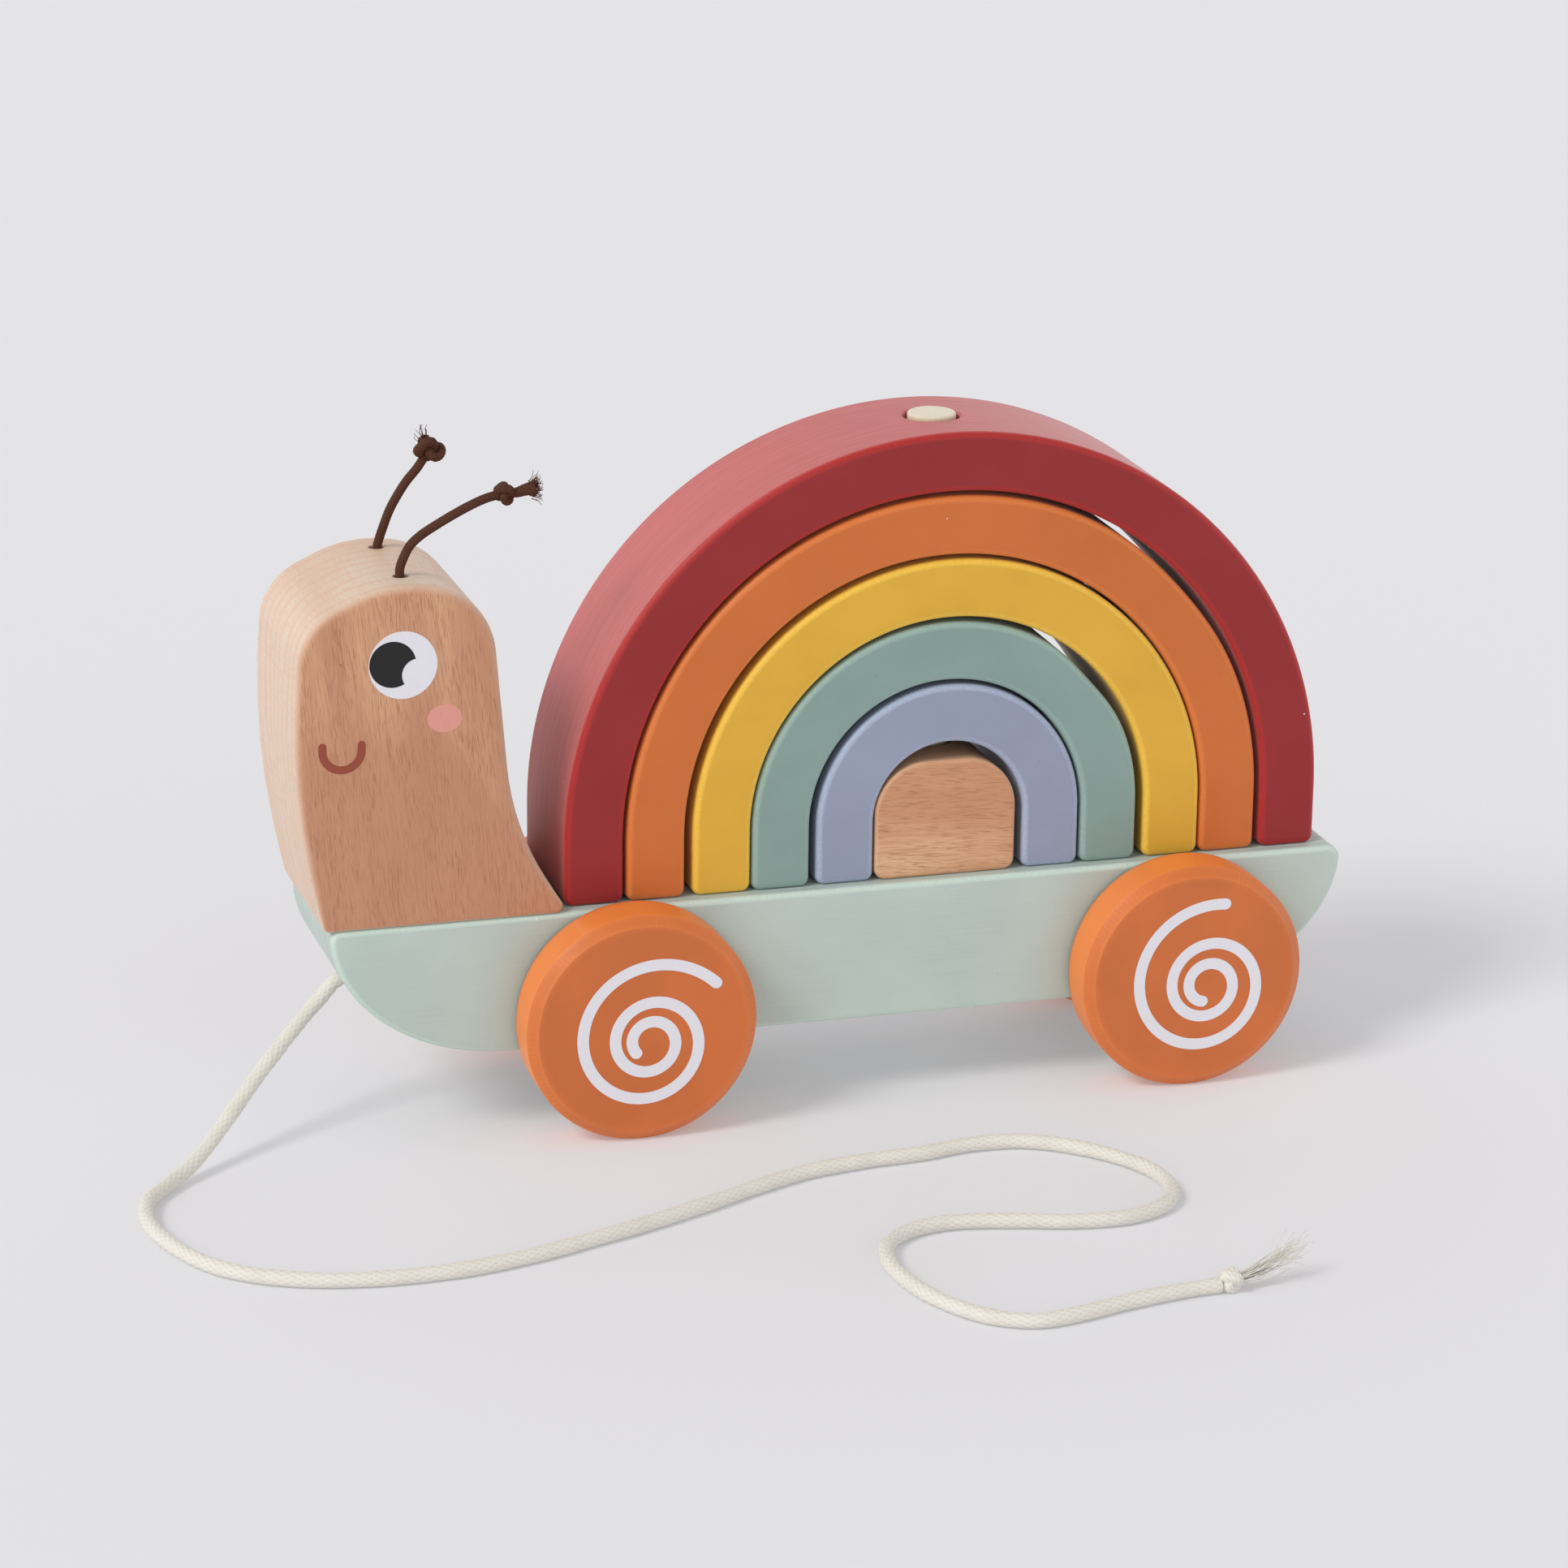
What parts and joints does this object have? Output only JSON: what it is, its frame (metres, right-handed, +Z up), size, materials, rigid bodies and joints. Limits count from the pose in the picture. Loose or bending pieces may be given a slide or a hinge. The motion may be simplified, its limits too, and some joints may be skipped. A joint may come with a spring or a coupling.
{
  "type": "pull along toy",
  "caption": "Wooden snail on wheels: a board with a solid head and cord antennae, nested arches that lift off a peg as its shell, and a braided pull cord.",
  "frame": {"origin": "on the floor below the middle of the toy's length and width, cord left out", "axes": "+Z up, -X towards the snail's head, -Y towards its left side"},
  "size_m": [0.2722, 0.1802, 0.1461],
  "materials": {
    "mint_paint": "satin water-based paint",
    "birch": "smooth bare dowel",
    "beech": "clear satin lacquer",
    "waxed_cord": "waxed",
    "lavender_paint": "satin water-based paint",
    "green_paint": "satin water-based paint",
    "yellow_paint": "satin water-based paint",
    "orange_paint": "satin water-based paint",
    "red_paint": "satin water-based paint",
    "cotton": "braided",
    "print_white": "screen print",
    "print_black": "screen print",
    "print_pink": "screen print",
    "print_brown": "screen print"
  },
  "bodies": {
    "base": {"base": "mint_paint", "peg": "birch", "head": "beech", "head_dowels": "birch", "antenna_left": "waxed_cord", "antenna_right": "waxed_cord", "antenna_knot_left": "waxed_cord", "antenna_knot_right": "waxed_cord", "pull_cord": "cotton", "cord_stop_knot": "cotton", "cord_end_knot": "cotton", "cord_frayed_end": "cotton"},
    "front_wheels": {"front_axle": "birch", "wheel_front_left": "orange_paint", "wheel_front_right": "orange_paint"},
    "rear_wheels": {"rear_axle": "birch", "wheel_rear_left": "orange_paint", "wheel_rear_right": "orange_paint"},
    "centre_block": {"centre_block": "beech"},
    "arch_lavender": {"arch_lavender": "lavender_paint"},
    "arch_green": {"arch_green": "green_paint"},
    "arch_yellow": {"arch_yellow": "yellow_paint"},
    "arch_orange": {"arch_orange": "orange_paint"},
    "arch_red": {"arch_red": "red_paint"}
  },
  "joints": [
    {"name": "front_wheels_roll", "type": "hinge", "parent": "base", "child": "front_wheels", "pos_m": [-0.045, 0, 0.025], "axis": [0, 1, 0], "continuous": true},
    {"name": "rear_wheels_roll", "type": "hinge", "parent": "base", "child": "rear_wheels", "pos_m": [0.0782, 0, 0.025], "axis": [0, 1, 0], "continuous": true},
    {"name": "centre_block_lift", "type": "slide", "parent": "base", "child": "centre_block", "axis": [0, 0, 1], "range_m": [0, 0.105]},
    {"name": "arch_lavender_lift", "type": "slide", "parent": "centre_block", "child": "arch_lavender", "axis": [0, 0, 1], "range_m": [0, 0.105]},
    {"name": "arch_green_lift", "type": "slide", "parent": "arch_lavender", "child": "arch_green", "axis": [0, 0, 1], "range_m": [0, 0.105]},
    {"name": "arch_yellow_lift", "type": "slide", "parent": "arch_green", "child": "arch_yellow", "axis": [0, 0, 1], "range_m": [0, 0.105]},
    {"name": "arch_orange_lift", "type": "slide", "parent": "arch_yellow", "child": "arch_orange", "axis": [0, 0, 1], "range_m": [0, 0.105]},
    {"name": "arch_red_lift", "type": "slide", "parent": "arch_orange", "child": "arch_red", "axis": [0, 0, 1], "range_m": [0, 0.105]}
  ]
}
